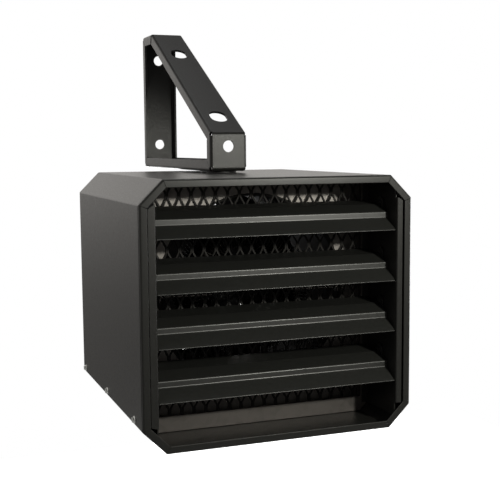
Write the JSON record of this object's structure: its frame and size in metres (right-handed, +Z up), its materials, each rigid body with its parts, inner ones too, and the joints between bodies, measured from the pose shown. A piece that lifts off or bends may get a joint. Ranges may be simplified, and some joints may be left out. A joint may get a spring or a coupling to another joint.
{
  "type": "fan heater",
  "caption": "Electric fan heater in a chamfered steel cabinet with tilting louvres and a mesh guard, hung by a bolt from a folded steel bracket it swivels on.",
  "frame": {"origin": "centre of the bracket's tall plate, on the face that lies against the wall", "axes": "+Y out of the back of the bracket into the wall, +Z up, +X to the heater's right as seen from its outlet side"},
  "size_m": [0.336, 0.516, 0.5085],
  "materials": {
    "black_coat": "fine textured semi-gloss charcoal powder coat",
    "louvre_coat": "smooth satin black paint",
    "galvanised": "galvanised sheet, soft spangle",
    "zinc": "bright zinc plated",
    "element_sheath": "heat darkened steel sheath and fins",
    "mesh_steel": "dull brownish coating on expanded steel",
    "fan_aluminium": "pressed sheet, satin",
    "motor_shell": "dark enamel",
    "black_plastic": "moulded",
    "light_plastic": "moulded"
  },
  "bodies": {
    "bracket": {"mounting_bracket": "black_coat", "pivot_bolt": "zinc", "bolt_washer": "zinc", "swivel_washer": "black_plastic", "pivot_nut": "zinc"},
    "cabinet": {"cabinet_wrapper": "black_coat", "bottom_panel": "black_coat", "rear_panel": "black_coat", "rear_guard": "louvre_coat", "swivel_plate": "galvanised", "louvre_channel_left": "black_coat", "louvre_channel_right": "black_coat", "outlet_frame": "galvanised", "expanded_metal_guard": "mesh_steel", "outlet_shroud": "galvanised", "shroud_drum": "galvanised", "heating_element_1": "element_sheath", "heating_element_2": "element_sheath", "heating_element_3": "element_sheath", "element_support_left": "galvanised", "element_support_right": "galvanised", "fan_motor": "motor_shell", "motor_strap": "galvanised", "limit_switch": "zinc", "terminal_block": "light_plastic", "contactor": "black_plastic", "cable_bushing": "black_plastic", "louvre_pin_left_1": "zinc", "louvre_pin_right_1": "zinc", "louvre_pin_left_2": "zinc", "louvre_pin_right_2": "zinc", "louvre_pin_left_3": "zinc", "louvre_pin_right_3": "zinc", "louvre_pin_left_4": "zinc", "louvre_pin_right_4": "zinc", "side_screw_left_1": "zinc", "side_screw_right_1": "zinc", "side_screw_left_2": "zinc", "side_screw_right_2": "zinc", "side_screw_left_3": "zinc", "side_screw_right_3": "zinc"},
    "fan": {"axial_fan": "fan_aluminium", "motor_shaft": "zinc"},
    "louvre_1": {"louvre_1": "louvre_coat"},
    "louvre_2": {"louvre_2": "louvre_coat"},
    "louvre_3": {"louvre_3": "louvre_coat"},
    "louvre_4": {"louvre_4": "louvre_coat"}
  },
  "joints": [
    {"name": "swivel", "type": "hinge", "parent": "bracket", "child": "cabinet", "pos_m": [0, -0.304, -0.104], "axis": [0, 0, 1], "range_deg": [-90, 90]},
    {"name": "louvre_1_tilt", "type": "hinge", "parent": "cabinet", "child": "louvre_1", "pos_m": [0, -0.476, -0.138], "axis": [1, 0, 0], "range_deg": [-25, 30]},
    {"name": "louvre_2_tilt", "type": "hinge", "parent": "cabinet", "child": "louvre_2", "pos_m": [0, -0.476, -0.1984], "axis": [1, 0, 0], "range_deg": [-25, 30]},
    {"name": "louvre_3_tilt", "type": "hinge", "parent": "cabinet", "child": "louvre_3", "pos_m": [0, -0.476, -0.2588], "axis": [1, 0, 0], "range_deg": [-25, 30]},
    {"name": "louvre_4_tilt", "type": "hinge", "parent": "cabinet", "child": "louvre_4", "pos_m": [0, -0.476, -0.3192], "axis": [1, 0, 0], "range_deg": [-25, 30]},
    {"name": "fan_spin", "type": "hinge", "parent": "cabinet", "child": "fan", "pos_m": [0, -0.296, -0.2475], "axis": [0, 1, 0], "continuous": true}
  ]
}
